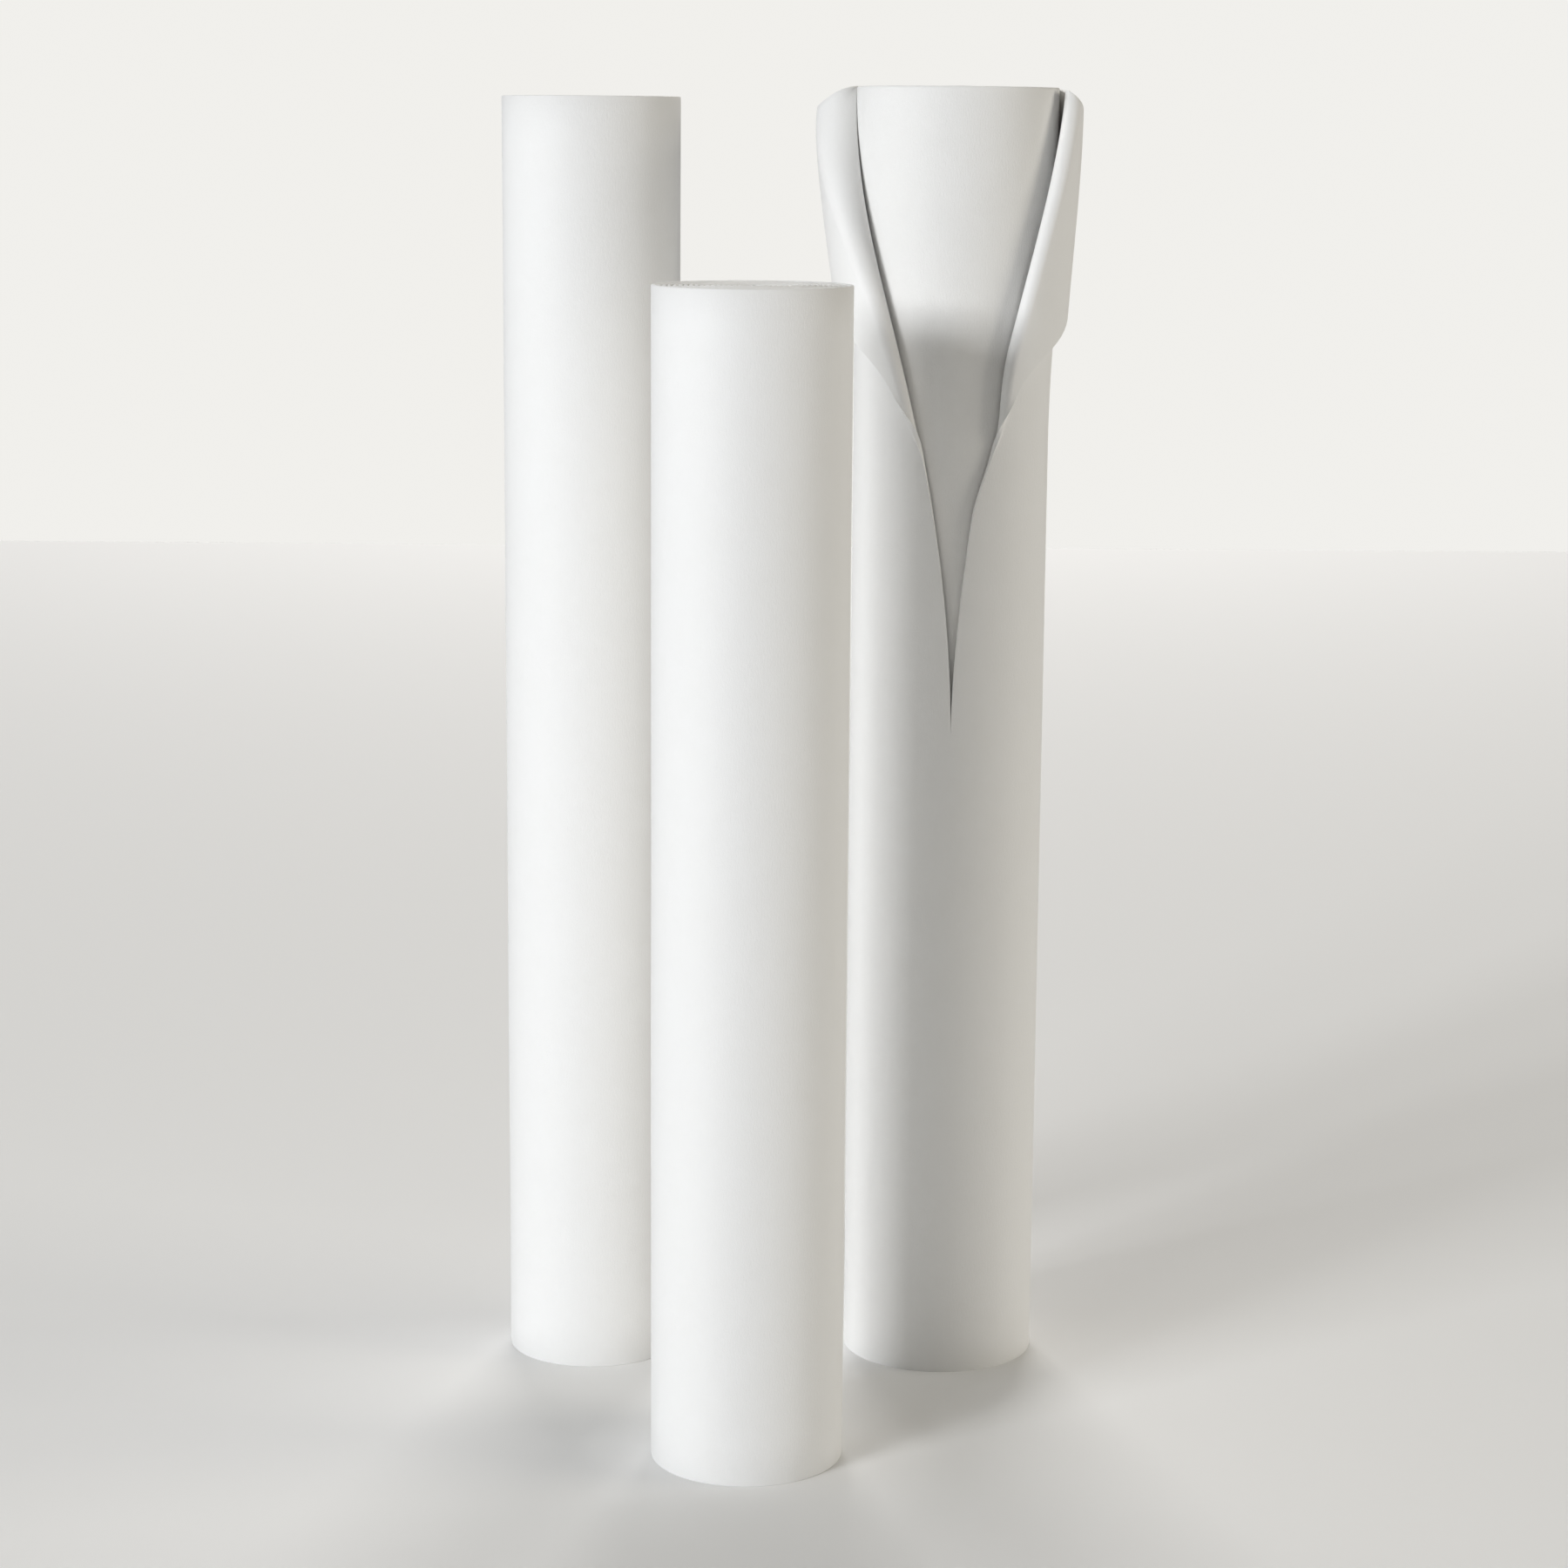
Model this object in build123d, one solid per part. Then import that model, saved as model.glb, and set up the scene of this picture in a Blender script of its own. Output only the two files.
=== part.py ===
from build123d import *
import math
import os

# A set of three blending stumps: soft paper wound tight into sticks with blunt, flat ends.
# Millimetres, +Z up. The stumps stand on z = 0, the front of the set faces -Y, and the origin is
# the centre of the box round the whole set, at its foot.

# Sizes over the cover, and where each stump stands, measured from the short one
SHORT_DIAMETER = 21.8
SHORT_LENGTH = 132.0
SHORT_PLACE = (0.0, 0.0)
LEFT_DIAMETER = 20.9
LEFT_LENGTH = 152.0
LEFT_PLACE = (-19.3, 37.4)
RIGHT_DIAMETER = 23.1
RIGHT_LENGTH = 153.4
RIGHT_PLACE = (23.4, 37.6)

# The paper, and how it is wound
PAPER = 0.5             # thickness of the strip and of the cover sheet
AIR = 0.08              # left between one turn and the next
PITCH = PAPER + AIR     # a turn's growth in radius
NEEDLE_RADIUS = 0.9     # least radius of the hole that the winding needle leaves
LAP = 24.0              # degrees by which a closed cover's edge overlaps its start
LAP_AT = 80.0           # where that lap starts, in degrees from +X: at the back

# The right stump's cover is open in front: its seam parts at SPLIT and gapes wider towards the
# top, and the two edges of the sheet roll outwards into lapels. Where the two lapels differ, -1
# is the left one and 1 is the right one. A share is a share of the length above SPLIT.
SPLIT = 78.5                            # height where the seam starts to part
SEAM = 0.65                             # degrees from the front to each edge below the split
GAPE = {-1: 88.7, 1: 71.3}              # degrees from the front to each fold at the top
GAPE_POWER = {-1: 1.86, 1: 1.75}        # how late the gap widens
SPREAD = {-1: 0.0, 1: 5.6}              # degrees by which it is wider still where the edges turn
SPREAD_SHARES = (0.34, 0.46, 0.60)      # where that starts, is complete and has gone again
ROLL = (0.42, 0.54)                     # shares between which the edges turn right over
HEM = 2.0                               # degrees that a turned edge reaches past its fold
REACH = {-1: (0.463, 0.719), 1: (0.491, 0.689)}     # shares between which the lapels lie back
REACH_POWER = {-1: 2.26, 1: 1.72}       # how late they do
LAPEL_REACH = 56.0                      # degrees round the stump that they then cover as well
FOLD_LOW = 0.45                         # bend radius where an edge starts to turn, mid-sheet
FOLD_TOP = {-1: 2.26, 1: 0.74}          # the same at the top
FOLD_GROWS = {-1: (0.42, 1.0), 1: (0.42, 0.643)}    # shares between which it grows
DROOP = {-1: 0.66, 1: 1.6}              # slope of the lapels' top edges, outwards and down
DROOP_FROM = {-1: 12.0, 1: 13.1}        # distance from the axis where the slope starts
LEAST_TURN = 3.0                        # degrees of turn below the roll, so that sections match
LEAST_REACH = 0.3                       # and of reach
SECTIONS = 28                           # cross-sections over the open length

# The loose top of the right stump springs open a little and moves to the right
SPRING = 1.1                            # growth in radius at the top
LEAN = 0.77                             # how far the top has moved
SPRING_HEIGHTS = (112.3, 153.0)         # where both start and where they are complete


def half_turn(number, radius, sweep, pitch):
    """One arc of a two-centred spiral: even ones go over the top, odd ones underneath."""
    odd = number % 2
    centre = (pitch / 4 if odd else -pitch / 4, 0)
    return CenterArc(centre, radius, 180.0 * odd, sweep)


def wound_strip(inner_radius, first, count, end_sweep=0.0, pitch=PITCH):
    """Cross-section of paper wound for so many half turns, counted from the heart of the roll."""
    sweeps = [180.0] * count + ([end_sweep] if end_sweep else [])
    inner = []
    outer = []
    for step, sweep in enumerate(sweeps):
        number = first + step
        radius = inner_radius + number * pitch / 2
        inner.append(half_turn(number, radius, sweep, pitch))
        outer.append(half_turn(number, radius + PAPER, sweep, pitch))
    start = Line(inner[0] @ 0, outer[0] @ 0)
    end = Line(inner[-1] @ 1, outer[-1] @ 1)
    return Face(Wire(inner + outer + [start, end]))


def stand(shape, place, height=0.0, turn=0.0):
    """Turns a shape about its own axis and stands it in its place."""
    return Pos(place[0], place[1], height) * Rot(0, 0, turn) * shape


def closed_stump(diameter, length, place):
    """A wound core, and the cover that carries the same spiral on for one turn and its lap."""
    cover_radius = diameter / 2 - 0.3 * PITCH - PAPER
    half_turns = 2 * int((cover_radius - NEEDLE_RADIUS) / PITCH)
    heart = cover_radius - half_turns * PITCH / 2
    core = extrude(wound_strip(heart, 0, half_turns), length, dir=(0, 0, 1))
    cover = extrude(wound_strip(heart, half_turns, 2, LAP), length, dir=(0, 0, 1))
    return stand(core, place, turn=LAP_AT), stand(cover, place, turn=LAP_AT)


def ease(value, low, high):
    """Goes smoothly from 0 at low to 1 at high."""
    share = min(max((value - low) / (high - low), 0.0), 1.0)
    return share * share * (3.0 - 2.0 * share)


def open_heights():
    """The heights of the open cover's cross-sections, from the split to the top."""
    step = (RIGHT_LENGTH - SPLIT) / SECTIONS
    return [SPLIT + step * number for number in range(SECTIONS + 1)]


def leaning_place(height):
    """Where the right stump's axis is at a height."""
    return RIGHT_PLACE[0] + LEAN * ease(height, *SPRING_HEIGHTS), RIGHT_PLACE[1]


def sprung_core():
    """The right stump's wound strip, whose turns stand further apart towards the top."""
    most = RIGHT_DIAMETER / 2 - PAPER - AIR / 4
    half_turns = 2 * int((most - PAPER - NEEDLE_RADIUS) / PITCH)
    growths = half_turns - 1
    heart = most - PITCH / 4 - PAPER - growths * PITCH / 2
    straight = [height for height in open_heights() if height <= SPRING_HEIGHTS[0]]
    sprung = [height for height in open_heights() if height > SPRING_HEIGHTS[0]]
    levels = []
    for height in [0.0, straight[-1]] + sprung:
        spring = SPRING * ease(height, *SPRING_HEIGHTS)
        pitch = PITCH + 2 * spring / (growths + 0.5)
        face = wound_strip(heart, 0, half_turns, pitch=pitch)
        levels.append(stand(face, leaning_place(height), height, LAP_AT))
    return loft(levels, ruled=True)


def half_sheet(height, side):
    """Both faces of half the open cover at a height, from the back round to its free edge.

    The sheet follows the core, turns outwards at the fold and lies back over itself. side is 1
    for the +X half and -1 for the other.
    """
    opened = max(height - SPLIT, 0.0) / (RIGHT_LENGTH - SPLIT)
    body = RIGHT_DIAMETER / 2 - PAPER / 2 + SPRING * ease(height, *SPRING_HEIGHTS)
    fold = FOLD_LOW + (FOLD_TOP[side] - FOLD_LOW) * ease(opened, *FOLD_GROWS[side])
    turned = LEAST_TURN + (180.0 - LEAST_TURN) * ease(opened, *ROLL)
    first, full, gone = SPREAD_SHARES
    spread = SPREAD[side] * (ease(opened, first, full) - ease(opened, full, gone))
    leading = math.sin(math.radians(min(turned, 90.0))) * ease(opened, 0.0, ROLL[0])
    bulge = math.degrees((fold + PAPER / 2) / body) * leading
    gape = SEAM + (GAPE[side] - SEAM) * opened ** GAPE_POWER[side]
    wrap = 180.0 - gape - spread - bulge
    back = ease(opened, *REACH[side]) ** REACH_POWER[side]
    reach = LEAST_REACH + HEM * ease(opened, *ROLL) + LAPEL_REACH * back
    faces = []
    for offset in (PAPER / 2, -PAPER / 2):
        around = JernArc((0, body + offset), (side, 0), body + offset, -side * wrap)
        roll = JernArc(around @ 1, around % 1, fold - offset, side * turned)
        lapel = JernArc(roll @ 1, roll % 1, body + 2 * fold - offset, side * reach)
        faces.append([around, roll, lapel])
    return faces


def open_section(height):
    """Cross-section of the whole open cover at a height."""
    right_out, right_in = half_sheet(height, 1)
    left_out, left_in = half_sheet(height, -1)
    right_edge = Line(right_out[-1] @ 1, right_in[-1] @ 1)
    left_edge = Line(left_out[-1] @ 1, left_in[-1] @ 1)
    face = Face(Wire(right_out + right_in + left_out + left_in + [right_edge, left_edge]))
    return stand(face, leaning_place(height), height)


def drooped_corner(side):
    """What is cut off one side of the open cover's flat top, so that the lapel slopes down."""
    size = 60.0
    block = Pos(side * size / 2, 0, size / 2) * Box(size, size, size)
    slope = math.degrees(math.atan(DROOP[side]))
    corner = Rot(0, side * slope, 0) * block
    return Pos(RIGHT_PLACE[0] + side * DROOP_FROM[side], RIGHT_PLACE[1], RIGHT_LENGTH) * corner


def open_cover():
    """The right stump's cover: a sheet wrapped once, its front seam open into two lapels."""
    heights = [0.0] + open_heights()
    sheet = loft([open_section(height) for height in heights], ruled=True)
    return (sheet - drooped_corner(-1) - drooped_corner(1)).solid()


def centred(pieces):
    """Moves the whole set so that the origin is under the middle of its box."""
    box = Compound(list(pieces.values())).bounding_box()
    middle = box.center()
    return {name: Pos(-middle.X, -middle.Y, 0) * piece for name, piece in pieces.items()}


os.makedirs("parts", exist_ok=True)
pieces = {}
pieces["middle_core"], pieces["middle_cover"] = closed_stump(SHORT_DIAMETER, SHORT_LENGTH, SHORT_PLACE)
pieces["left_core"], pieces["left_cover"] = closed_stump(LEFT_DIAMETER, LEFT_LENGTH, LEFT_PLACE)
pieces["right_core"] = sprung_core()
pieces["right_cover"] = open_cover()
for name, piece in centred(pieces).items():
    export_step(piece, f"parts/{name}.step")
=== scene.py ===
import math

import bmesh
import bpy
from mathutils import Matrix, Vector, noise


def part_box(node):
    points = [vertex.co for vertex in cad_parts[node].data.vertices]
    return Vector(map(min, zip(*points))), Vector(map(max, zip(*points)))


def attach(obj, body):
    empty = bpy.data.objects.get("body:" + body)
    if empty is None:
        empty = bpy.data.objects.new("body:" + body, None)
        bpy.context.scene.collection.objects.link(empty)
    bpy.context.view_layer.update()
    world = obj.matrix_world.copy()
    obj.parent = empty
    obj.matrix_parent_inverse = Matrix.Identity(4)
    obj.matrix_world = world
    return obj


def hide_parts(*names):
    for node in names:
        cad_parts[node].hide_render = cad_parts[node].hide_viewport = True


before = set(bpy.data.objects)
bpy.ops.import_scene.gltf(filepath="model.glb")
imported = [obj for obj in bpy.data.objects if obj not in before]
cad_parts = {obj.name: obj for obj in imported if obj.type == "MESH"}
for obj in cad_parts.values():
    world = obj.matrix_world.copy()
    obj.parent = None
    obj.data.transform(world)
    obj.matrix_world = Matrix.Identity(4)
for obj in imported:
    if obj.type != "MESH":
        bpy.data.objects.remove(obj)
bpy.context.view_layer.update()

scene = bpy.context.scene


# ---------------------------------------------------------------------------------------------
# Cover paper. A smooth, fairly hard drawing paper, bright white and matt. Its fibres show only
# close to, as a fine tooth and a faint cloudiness from the pulp.
# ---------------------------------------------------------------------------------------------
COVER_WHITE = (0.885, 0.885, 0.88, 1.0)
COVER_CLOUD = (0.865, 0.862, 0.85, 1.0)
CLOUD_FINENESS = 330.0   # how closely the clouds of pulp lie, 1/m
CLOUD_HEIGHT = 0.00012
FIBRE_FINENESS = 5200.0  # and the fibres
FIBRE_HEIGHT = 0.00006
FIBRE_STRETCH = (1.0, 1.0, 0.35)     # they run up the sheet


def paper(name, white, cloud, tooth, roughness):
    """A matt paper: pulp clouds in its colour, and a tooth of fibres that run up the sheet."""
    material = bpy.data.materials.new(name)
    material.use_nodes = True
    nodes = material.node_tree.nodes
    links = material.node_tree.links
    shader = nodes["Principled BSDF"]
    shader.inputs["Roughness"].default_value = roughness
    shader.inputs["Specular IOR Level"].default_value = 0.35
    shader.inputs["Sheen Weight"].default_value = 0.06
    shader.inputs["Sheen Roughness"].default_value = 0.6
    place = nodes.new("ShaderNodeTexCoord")

    clouds = nodes.new("ShaderNodeTexNoise")
    clouds.inputs["Scale"].default_value = CLOUD_FINENESS
    clouds.inputs["Detail"].default_value = 5.0
    clouds.inputs["Roughness"].default_value = 0.62
    links.new(place.outputs["Object"], clouds.inputs["Vector"])
    tint = nodes.new("ShaderNodeMix")
    tint.data_type = "RGBA"
    tint.inputs["A"].default_value = white
    tint.inputs["B"].default_value = cloud
    links.new(clouds.outputs["Fac"], tint.inputs["Factor"])
    links.new(tint.outputs["Result"], shader.inputs["Base Color"])

    lay = nodes.new("ShaderNodeMapping")
    lay.inputs["Scale"].default_value = FIBRE_STRETCH
    links.new(place.outputs["Object"], lay.inputs["Vector"])
    fibres = nodes.new("ShaderNodeTexNoise")
    fibres.inputs["Scale"].default_value = FIBRE_FINENESS
    fibres.inputs["Detail"].default_value = 4.0
    fibres.inputs["Roughness"].default_value = 0.7
    links.new(lay.outputs["Vector"], fibres.inputs["Vector"])
    pulp = nodes.new("ShaderNodeBump")
    pulp.inputs["Strength"].default_value = 0.25
    pulp.inputs["Distance"].default_value = CLOUD_HEIGHT
    links.new(clouds.outputs["Fac"], pulp.inputs["Height"])
    grain = nodes.new("ShaderNodeBump")
    grain.inputs["Strength"].default_value = tooth
    grain.inputs["Distance"].default_value = FIBRE_HEIGHT
    links.new(fibres.outputs["Fac"], grain.inputs["Height"])
    links.new(pulp.outputs["Normal"], grain.inputs["Normal"])
    links.new(grain.outputs["Normal"], shader.inputs["Normal"])
    return material


cover_paper = paper("cover_paper", COVER_WHITE, COVER_CLOUD, tooth=0.5, roughness=0.62)


# ---------------------------------------------------------------------------------------------
# Core paper. The same pulp, unpressed: softer, more open and a little warmer, so that it takes
# up pastel and graphite. It is what shows at the wound ends and in the opened stump's V.
# ---------------------------------------------------------------------------------------------
CORE_WHITE = (0.88, 0.878, 0.868, 1.0)
CORE_CLOUD = (0.85, 0.846, 0.83, 1.0)

core_paper = paper("core_paper", CORE_WHITE, CORE_CLOUD, tooth=0.8, roughness=0.78)


# ---------------------------------------------------------------------------------------------
# Wound cores of the closed stumps. Each is one long strip of soft paper, wound tight from the
# heart out, so its flat ends show the turns. Half turns about two centres make the spiral.
# ---------------------------------------------------------------------------------------------
PAPER = 0.0005           # thickness of the strip and of the covers
AIR = 0.00008            # left between one turn and the next
PITCH = PAPER + AIR      # a turn's growth in radius
LAP_RISE = 0.3 * PITCH   # how much of a closed cover's lap counts in the diameter
NEEDLE_RADIUS = 0.0009   # least radius of the hole at the heart
LAP_AT = math.radians(80.0)      # where a strip's outer end lies, round the back
EDGE = 0.00009           # softened corner of a cut edge
CREASE = math.radians(50)        # faces that meet at more than this show an edge
WELD = 0.000004          # corners nearer than this are one
END_WAVER = 0.00006      # how unevenly the turns' edges lie in a wound end
END_WAVER_FINENESS = 300.0       # and how often, 1/m
FOOT_WAVER = 0.3         # share of it at the foot, where the turns are pressed flat
SHORT_DIAMETER = 0.0218
LEFT_DIAMETER = 0.0209


def strip_section(inner_radius, levels):
    """The strip's upright section where it starts: two faces and four softened corners."""
    near = inner_radius - PITCH / 4
    far = near + PAPER
    low, high = levels[0], levels[-1]
    heights = [low + EDGE] + levels[1:-1] + [high - EDGE]
    outline = [(near + EDGE, low), (far - EDGE, low)]
    outline += [(far, height) for height in heights]
    outline += [(far - EDGE, high), (near + EDGE, high)]
    outline += [(near, height) for height in reversed(heights)]
    return outline


def wind(outline, sweeps, flats):
    """Rolls a flat grid into a strip: its rows go round the turns, its columns round the section.

    Sweeps are the angles of its half turns, the last of which may be a part, and a whole one has
    as many faces round it as flats says.
    """
    rows = []
    for number, sweep in enumerate(sweeps):
        steps = max(3, round(flats * sweep / math.pi))
        for step in range(min(number, 1), steps + 1):
            rows.append((number, math.pi * number + sweep * step / steps))
    columns = len(outline)
    bm = bmesh.new()
    bmesh.ops.create_grid(bm, x_segments=columns, y_segments=len(rows) - 1, size=1.0)
    for corner in bm.verts:
        across, up = outline[round((corner.co.x + 1.0) / 2 * columns) % columns]
        number, angle = rows[round((corner.co.y + 1.0) / 2 * (len(rows) - 1))]
        centre = PITCH / 4 if number % 2 else -PITCH / 4
        radius = across + PITCH / 4 + number * PITCH / 2
        corner.co = (centre + radius * math.cos(angle), radius * math.sin(angle), up)
    bmesh.ops.remove_doubles(bm, verts=bm.verts[:], dist=WELD)
    bmesh.ops.holes_fill(bm, edges=bm.edges[:], sides=columns)
    bmesh.ops.recalc_face_normals(bm, faces=bm.faces[:])
    return bm


def waver_ends(bm, length):
    """Lets the turns' edges lie a hair unevenly inside each flat end, as wound paper does."""
    for corner in bm.verts:
        drop = END_WAVER * (1.0 + noise.noise(corner.co * END_WAVER_FINENESS))
        if corner.co.z > length - 2 * EDGE:
            corner.co.z -= drop
        elif corner.co.z < 2 * EDGE:
            corner.co.z += FOOT_WAVER * drop


def finish_piece(bm, node, place, turn, material, body):
    """Turns a mesh, stands it in its place and gives it its paper and the body it rides on."""
    bmesh.ops.rotate(bm, verts=bm.verts[:], cent=(0, 0, 0), matrix=Matrix.Rotation(turn, 3, "Z"))
    bmesh.ops.translate(bm, verts=bm.verts[:], vec=place)
    for face in bm.faces:
        face.smooth = True
    mesh = bpy.data.meshes.new(node + "_paper")
    bm.to_mesh(mesh)
    bm.free()
    mesh.materials.append(material)
    mesh.set_sharp_from_angle(angle=CREASE)
    shape = bpy.data.objects.new(node + "_paper", mesh)
    scene.collection.objects.link(shape)
    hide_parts(node)
    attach(shape, body)
    return shape


def axis_of(cover_node):
    """Where a closed stump's axis meets the floor, and its length. The lap sets the box off it."""
    low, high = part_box(cover_node)
    shift = PITCH / 4
    return Vector(((low.x + high.x) / 2 - shift, (low.y + high.y) / 2 - shift, 0.0)), high.z


def winding(cover_radius):
    """How many half turns fill a cover of this inner radius, and the heart's own radius."""
    half_turns = 2 * int((cover_radius - NEEDLE_RADIUS) / PITCH)
    return half_turns, cover_radius - half_turns * PITCH / 2


def closed_core(node, cover_node, diameter, body):
    """The strip of a closed stump, straight all the way up."""
    place, length = axis_of(cover_node)
    half_turns, heart = winding(diameter / 2 - LAP_RISE - PAPER)
    bm = wind(strip_section(heart, [0.0, length]), [math.pi] * half_turns, flats=32)
    waver_ends(bm, length)
    return finish_piece(bm, node, place, LAP_AT, core_paper, body)


closed_core("middle_core", "middle_cover", SHORT_DIAMETER, "short_stump")
closed_core("left_core", "left_cover", LEFT_DIAMETER, "left_stump")


# ---------------------------------------------------------------------------------------------
# Covers of the closed stumps. A sheet goes once round the core and laps over its own start at
# the back, where it is glued down. It isn't quite true: it swells and flattens a hair.
# ---------------------------------------------------------------------------------------------
LAP = math.radians(24.0)         # overlap of a closed cover
COVER_BANDS = 26         # rings of faces up a cover
SHEET_WAVER = 0.000035   # how far a sheet strays from a true cylinder
SHEET_WAVES = Vector((60.0, 60.0, 38.0))     # how often, round and along it, 1/m
WAVER_STARTS = 12.0      # it is complete at a 12th of the length from each end
WAVER_INWARDS = 0.6      # and is mostly inwards, by this share


def stray(bm, length):
    """Lets a sheet swell and flatten slightly along its length, without moving its ends."""
    for corner in bm.verts:
        across = Vector((corner.co.x, corner.co.y, 0.0))
        swell = WAVER_INWARDS + noise.noise(corner.co * SHEET_WAVES)
        middle = min(1.0, WAVER_STARTS * min(corner.co.z, length - corner.co.z) / length)
        corner.co -= across.normalized() * SHEET_WAVER * middle * swell


def closed_cover(node, diameter, body):
    """A sheet wound once round, with its lap."""
    place, length = axis_of(node)
    levels = [length * band / COVER_BANDS for band in range(COVER_BANDS + 1)]
    section = strip_section(diameter / 2 - LAP_RISE - PAPER, levels)
    bm = wind(section, [math.pi, math.pi, LAP], flats=60)
    stray(bm, length)
    return finish_piece(bm, node, place, LAP_AT, cover_paper, body)


closed_cover("middle_cover", SHORT_DIAMETER, "short_stump")
closed_cover("left_cover", LEFT_DIAMETER, "left_stump")


# ---------------------------------------------------------------------------------------------
# Core of the opened stump. The same wound strip. Above the place where the cover lets go of it
# the turns have sprung apart a little, so the top is slightly thicker than the foot.
# ---------------------------------------------------------------------------------------------
RIGHT_FROM_SHORT = Vector((0.0234, 0.0376, 0.0))     # from the short stump's axis
RIGHT_DIAMETER = 0.0231
SPRING = 0.0011          # growth in radius at the top
LEAN = 0.00077           # how far the top of the bundle has moved to the right
SPRING_HEIGHTS = (0.1123, 0.153)     # where both start and where they are complete
SPRING_BANDS = 9         # rings of faces between
STRAIGHT_BAND = 0.06     # height of the one ring of corners below

right_place = axis_of("middle_cover")[0] + RIGHT_FROM_SHORT
right_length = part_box("right_core")[1].z


def ease(value, low, high):
    """Goes smoothly from 0 at low to 1 at high."""
    share = min(max((value - low) / (high - low), 0.0), 1.0)
    return share * share * (3.0 - 2.0 * share)


def sprung_core(node, body):
    """The opened stump's strip, wound straight and then let go at the top."""
    most = RIGHT_DIAMETER / 2 - PAPER - AIR / 4
    half_turns = 2 * int((most - PAPER - NEEDLE_RADIUS) / PITCH)
    heart = most - PITCH / 4 - PAPER - (half_turns - 1) * PITCH / 2
    start, end = SPRING_HEIGHTS
    rise = [start + (end - start) * band / SPRING_BANDS for band in range(SPRING_BANDS + 1)]
    levels = [0.0, STRAIGHT_BAND] + rise + [right_length]
    bm = wind(strip_section(heart, levels), [math.pi] * half_turns, flats=40)
    for corner in bm.verts:
        across = Vector((corner.co.x, corner.co.y, 0.0))
        share = (across.length - heart) / (most - heart)
        move = across.normalized() * SPRING * share + Vector((LEAN, 0.0, 0.0))
        corner.co += move * ease(corner.co.z, *SPRING_HEIGHTS)
    waver_ends(bm, right_length)
    return finish_piece(bm, node, right_place, LAP_AT, core_paper, body)


sprung_core("right_core", "right_stump")


# ---------------------------------------------------------------------------------------------
# Cover of the opened stump. A sheet wrapped once, with its seam in front. The seam is unstuck
# from the top and gapes in a V, and the two edges have rolled outwards into lapels, which lie
# back over the cover like a turned-down collar.
# ---------------------------------------------------------------------------------------------
SPLIT = 0.0785           # height where the seam starts to part
GAPE = {-1: math.radians(88.7), 1: math.radians(71.3)}       # front to fold at the top, by side
GAPE_POWER = {-1: 1.86, 1: 1.75}     # how late the gap widens
SPREAD = {-1: 0.0, 1: math.radians(5.6)}     # how much further open it is where the edges turn
SPREAD_SHARES = (0.34, 0.46, 0.60)   # shares of the open length where that starts, peaks and ends
ROLL = (0.42, 0.54)      # shares of the open length between which the edges turn right over
HEM = math.radians(2.0)  # how far round the turned edge lies just above the place where it turns
REACH = {-1: (0.463, 0.719), 1: (0.491, 0.689)}      # shares between which the lapels lie back
REACH_POWER = {-1: 2.26, 1: 1.72}    # how late they do
LAPEL_REACH = math.radians(56.0)     # how far round they then cover, past the hem
FOLD_LOW = 0.00045       # bend radius where an edge starts to turn
FOLD_TOP = {-1: 0.00226, 1: 0.00074}     # bend radius at the top, by side
FOLD_GROWS = {-1: (0.42, 1.0), 1: (0.42, 0.643)}     # shares between which it grows
DROOP = {-1: 100.0, 1: 250.0}        # how fast the lapels' top edges fall away outwards, 1/m
DROOP_FROM = {-1: 0.011, 1: 0.0115}  # sideways distance from the axis where they start to
DROOP_POWER = 5          # how fast the droop dies away down the sheet
BACK_COLUMNS, ROLL_COLUMNS, LAPEL_COLUMNS = 56, 22, 34       # faces across each half
EVEN_UNTIL = ROLL[1] + 0.04          # share up to which the columns move to their parts
OPEN_ROWS = 110          # rows of faces above the split
CLOSED_ROWS = 16         # and below it


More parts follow.
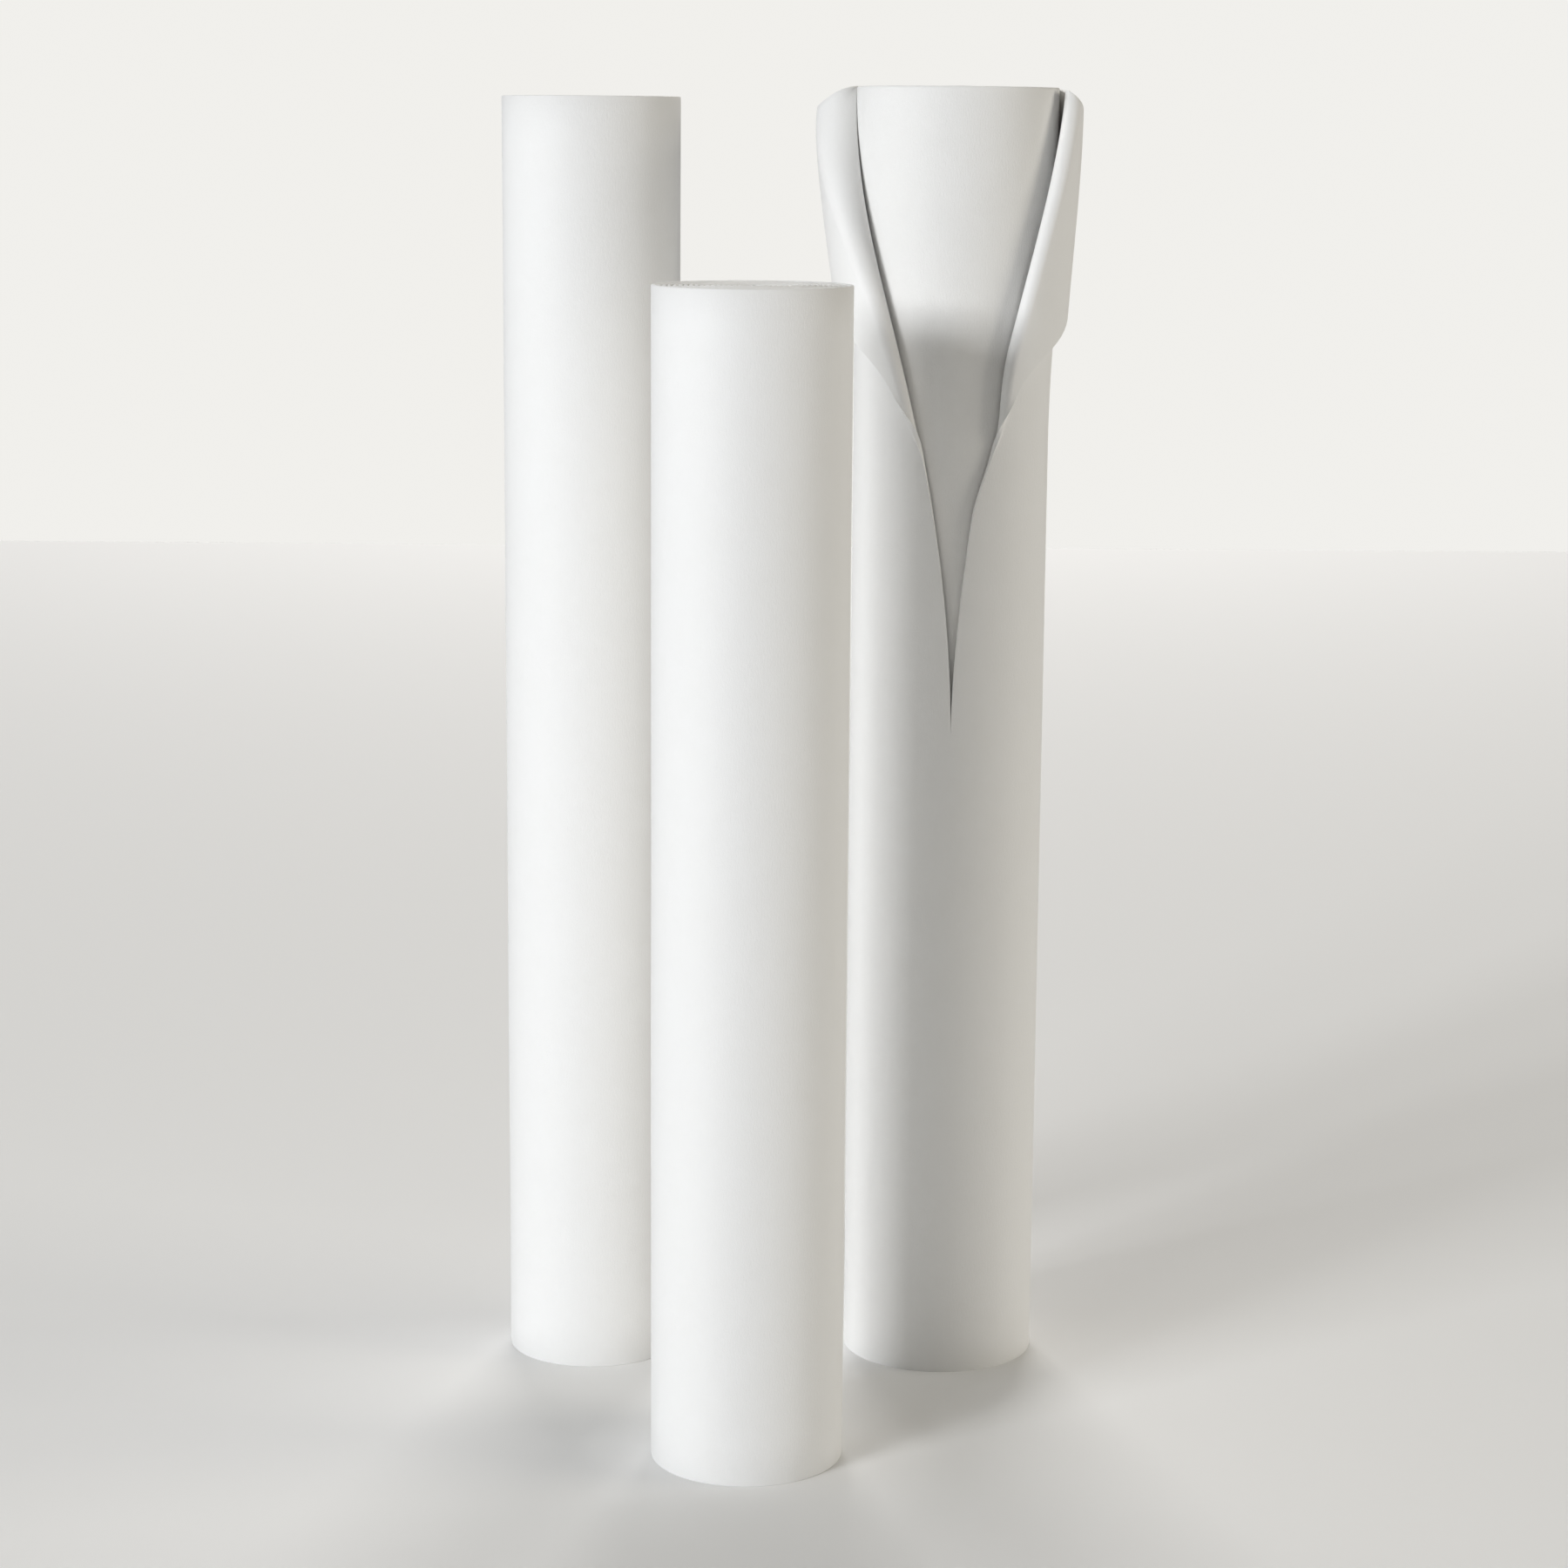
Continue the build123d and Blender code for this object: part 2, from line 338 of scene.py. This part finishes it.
def on_sheet(column, height, side):
    """A place on the middle of the sheet: column 0 is at the back and the last one at the edge."""
    opened = max(height - SPLIT, 0.0) / (right_length - SPLIT)
    sprung = ease(height, *SPRING_HEIGHTS)
    body = RIGHT_DIAMETER / 2 - PAPER / 2 + SPRING * sprung
    fold = FOLD_LOW + (FOLD_TOP[side] - FOLD_LOW) * ease(opened, *FOLD_GROWS[side])
    lapel = body + 2 * fold
    starts, peaks, ends = SPREAD_SHARES
    spread = SPREAD[side] * (ease(opened, starts, peaks) - ease(opened, peaks, ends))
    turned = math.pi * ease(opened, *ROLL)
    bulge = (fold + PAPER / 2) / body * math.sin(min(turned, math.pi / 2))
    wrap = math.pi - GAPE[side] * opened ** GAPE_POWER[side] - spread - bulge
    back = ease(opened, *REACH[side]) ** REACH_POWER[side]
    reach = HEM * ease(opened, *ROLL) + LAPEL_REACH * back
    lengths = (wrap * body, turned * fold, reach * lapel)
    counts = (BACK_COLUMNS, ROLL_COLUMNS, LAPEL_COLUMNS)
    even = sum(lengths) * column / sum(counts)
    by_part, left = 0.0, column
    for length, count in zip(lengths, counts):
        by_part += length * min(max(left / count, 0.0), 1.0)
        left -= count
    way = even + (by_part - even) * ease(opened, 0.0, EVEN_UNTIL)

    angle = min(way / body, wrap)
    outwards = Vector((side * math.sin(angle), math.cos(angle), 0.0))
    onwards = Vector((side * math.cos(angle), -math.sin(angle), 0.0))
    spot = outwards * body + Vector((LEAN, 0.0, 0.0)) * sprung
    way -= angle * body
    bend = min(max(way, 0.0) / fold, turned)
    inwards = outwards * math.cos(bend) - onwards * math.sin(bend)
    spot += outwards * fold - inwards * fold
    way -= bend * fold
    heading = outwards * math.sin(bend) + onwards * math.cos(bend)
    lie = min(max(way, 0.0) / lapel, reach)
    spot += inwards * lapel * (1.0 - math.cos(lie)) + heading * lapel * math.sin(lie)
    spot.z = height - DROOP[side] * max(abs(spot.x) - DROOP_FROM[side], 0.0) ** 2 * opened ** DROOP_POWER
    return spot


def open_cover(node, body):
    """A flat sheet, bent round the core, split and rolled back. It still has no thickness."""
    across = BACK_COLUMNS + ROLL_COLUMNS + LAPEL_COLUMNS
    rows = CLOSED_ROWS + OPEN_ROWS
    bm = bmesh.new()
    bmesh.ops.create_grid(bm, x_segments=2 * across, y_segments=rows, size=1.0)
    for corner in bm.verts:
        side = 1 if corner.co.x > 0 else -1
        row = (corner.co.y + 1.0) / 2 * rows
        if row <= CLOSED_ROWS:
            height = SPLIT * row / CLOSED_ROWS
        else:
            height = SPLIT + (right_length - SPLIT) * (row - CLOSED_ROWS) / OPEN_ROWS
        corner.co = on_sheet(abs(corner.co.x) * across, height, side)
    bmesh.ops.remove_doubles(bm, verts=bm.verts[:], dist=WELD)
    return finish_piece(bm, node, right_place, 0.0, cover_paper, body)


cover = open_cover("right_cover", "right_stump")
thickness = cover.modifiers.new("sheet_thickness", "SOLIDIFY")
thickness.thickness = PAPER
thickness.offset = 0.0
thickness.use_even_offset = True
softened = cover.modifiers.new("cut_edges", "BEVEL")
softened.width = EDGE
softened.segments = 2
softened.limit_method = "ANGLE"
softened.angle_limit = CREASE


# ---------------------------------------------------------------------------------------------
# Table, light and camera. The set stands on a plain pale table in a white room. Two soft window
# panes are low in front and to the left. Walls, ceiling and a window behind fill in the shade.
# ---------------------------------------------------------------------------------------------
TABLE_SIZE = 1.7
TABLE_WHITE = (0.88, 0.88, 0.875, 1.0)
WALL_WHITE = (0.878, 0.868, 0.838, 1.0)      # as bright as the table's far side
ROOM_LIGHT = 0.02        # what the room sends by itself, beside its windows and walls

bm = bmesh.new()
bmesh.ops.create_grid(bm, x_segments=2, y_segments=2, size=TABLE_SIZE / 2)
table_mesh = bpy.data.meshes.new("table")
bm.to_mesh(table_mesh)
bm.free()
table = bpy.data.objects.new("table", table_mesh)
scene.collection.objects.link(table)
table_paint = bpy.data.materials.new("table_paint")
table_paint.use_nodes = True
table_shader = table_paint.node_tree.nodes["Principled BSDF"]
table_shader.inputs["Base Color"].default_value = TABLE_WHITE
table_shader.inputs["Roughness"].default_value = 0.85
table_mesh.materials.append(table_paint)

room = bpy.data.worlds.new("white_room")
scene.world = room
room.use_nodes = True
room_nodes = room.node_tree.nodes
seen_wall = room_nodes["Background"]
seen_wall.inputs["Color"].default_value = WALL_WHITE
sent_light = room_nodes.new("ShaderNodeBackground")
sent_light.inputs["Strength"].default_value = ROOM_LIGHT
ray = room_nodes.new("ShaderNodeLightPath")
either = room_nodes.new("ShaderNodeMixShader")
room_links = room.node_tree.links
room_links.new(ray.outputs["Is Camera Ray"], either.inputs["Fac"])
room_links.new(sent_light.outputs["Background"], either.inputs[1])
room_links.new(seen_wall.outputs["Background"], either.inputs[2])
room_links.new(either.outputs["Shader"], room_nodes["World Output"].inputs["Surface"])


LIGHT_DISTANCE = 1.6
AIM = Vector((0.0, 0.0, right_length * 0.6))     # the lights face this place
WINDOW, WALL, CEILING = (0.4, 0.34), (0.8, 0.6), (1.6, 1.6)      # their sizes


def soft_light(name, azimuth, elevation, size, power, colour):
    """A soft rectangle that faces the set. Its angles are degrees to the left and upwards."""
    light = bpy.data.lights.new(name, "AREA")
    light.shape = "RECTANGLE"
    light.size, light.size_y = size
    light.energy = power
    light.color = colour
    lamp = bpy.data.objects.new(name, light)
    scene.collection.objects.link(lamp)
    around, above = math.radians(azimuth), math.radians(elevation)
    level = Vector((-math.sin(around), -math.cos(around), 0.0))
    way = level * math.cos(above) + Vector((0.0, 0.0, math.sin(above)))
    lamp.location = AIM + way * LIGHT_DISTANCE
    lamp.rotation_euler = way.to_track_quat("Z", "Y").to_euler()


soft_light("window", 47.0, 14.5, WINDOW, 12.5, (0.965, 0.98, 1.0))
soft_light("window_side", 38.0, 13.0, WINDOW, 6.2, (0.955, 0.975, 1.0))
soft_light("left_wall", 80.0, 15.0, WALL, 1.5, (0.85, 0.93, 1.0))
soft_light("right_wall", -84.0, 12.0, WALL, 9.8, (1.0, 0.95, 0.85))
soft_light("ceiling", 0.0, 85.0, CEILING, 5.2, (1.0, 0.95, 0.84))
soft_light("far_window", 180.0, 30.0, WALL, 12.5, (1.0, 0.985, 0.97))

EYE = Vector((0.0039, -0.3775, 0.1488))      # from the foot of the short stump
LOOKS_DOWN = math.radians(10.69)
LEANS = math.radians(0.41)
LENS, SENSOR = 80.1, 36.0        # mm
camera = bpy.data.cameras.new("camera")
camera.sensor_width = SENSOR
camera.lens = LENS
eye = bpy.data.objects.new("camera", camera)
scene.collection.objects.link(eye)
eye.location = axis_of("middle_cover")[0] + EYE
tilt = Matrix.Rotation(math.pi / 2 - LOOKS_DOWN, 3, "X") @ Matrix.Rotation(LEANS, 3, "Z")
eye.rotation_euler = tilt.to_euler()
scene.camera = eye
scene.view_settings.view_transform = "Standard"
